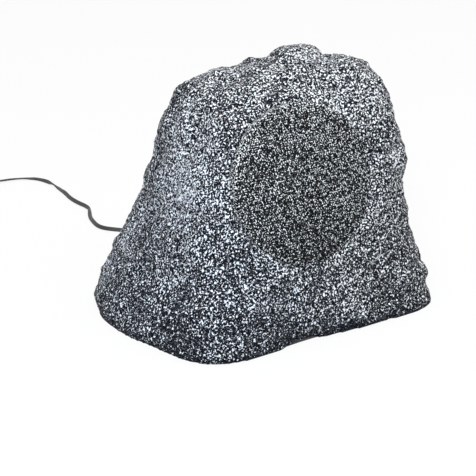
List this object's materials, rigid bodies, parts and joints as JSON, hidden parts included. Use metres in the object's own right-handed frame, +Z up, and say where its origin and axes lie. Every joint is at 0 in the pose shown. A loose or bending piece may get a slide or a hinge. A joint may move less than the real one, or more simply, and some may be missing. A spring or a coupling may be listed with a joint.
{
  "type": "rock shaped garden speaker",
  "caption": "Garden speaker shaped as a rock: hollow speckled housing with a round perforated grille in its front, a two-way driver, a base plate and a flat twin lead.",
  "frame": {"origin": "middle of the base, on the surface that the speaker stands on", "axes": "+Z up, -Y out of the front with the grille, +Y towards the lead, X along the width"},
  "size_m": [0.3507, 0.6334, 0.2777],
  "materials": {
    "stone_resin": "moulded resin with a granite speckle, matt",
    "grille_steel": "perforated sheet, painted with the same speckle",
    "black_cloth": "acoustic dust cloth",
    "black_plastic": "moulded, fine grain",
    "black_rubber": "soft moulded rubber",
    "foam": "closed-cell foam strip",
    "screw_steel": "zinc plated",
    "motor_steel": "zinc plated, slightly yellow",
    "ferrite": "sintered magnet, dull",
    "cone_paper": "treated cone paper",
    "former_aluminium": "thin rolled foil",
    "copper_winding": "enamelled copper wire",
    "spider_cloth": "resin-stiffened cloth",
    "silk": "coated silk dome",
    "board_laminate": "bare laminate",
    "capacitor_sleeve": "shrink sleeve",
    "resistor_ceramic": "white ceramic",
    "lead_jacket": "flexible jacket, dark grey",
    "tinned_copper": "tinned strands"
  },
  "bodies": {
    "enclosure": {"rock_shell": "stone_resin", "base_plate": "black_plastic", "base_screws": "screw_steel", "cable_gland": "black_rubber", "grille": "grille_steel", "grille_cloth": "black_cloth", "woofer_gasket": "foam", "woofer_basket": "black_plastic", "woofer_screws": "screw_steel", "woofer_surround": "black_rubber", "woofer_spider": "spider_cloth", "magnet_front_plate": "motor_steel", "magnet_ring": "ferrite", "pole_yoke": "motor_steel", "terminal_strip": "board_laminate", "tweeter_housing": "black_plastic", "tweeter_face": "black_plastic", "tweeter_dome": "silk", "crossover_board": "board_laminate", "crossover_inductor": "copper_winding", "crossover_capacitor": "capacitor_sleeve", "crossover_resistor": "resistor_ceramic", "speaker_cord": "lead_jacket", "stripped_ends": "tinned_copper", "input_lead": "lead_jacket", "woofer_lead": "lead_jacket", "tweeter_lead": "lead_jacket"},
    "diaphragm": {"woofer_cone": "cone_paper", "voice_coil_former": "former_aluminium", "voice_coil_winding": "copper_winding"}
  },
  "joints": [
    {"name": "cone_excursion", "type": "slide", "parent": "enclosure", "child": "diaphragm", "axis": [0, -0.9563, 0.2924], "range_m": [-0.003, 0.003], "stiffness_N_per_m": 1700, "deforming": ["woofer_surround", "woofer_spider"]}
  ]
}
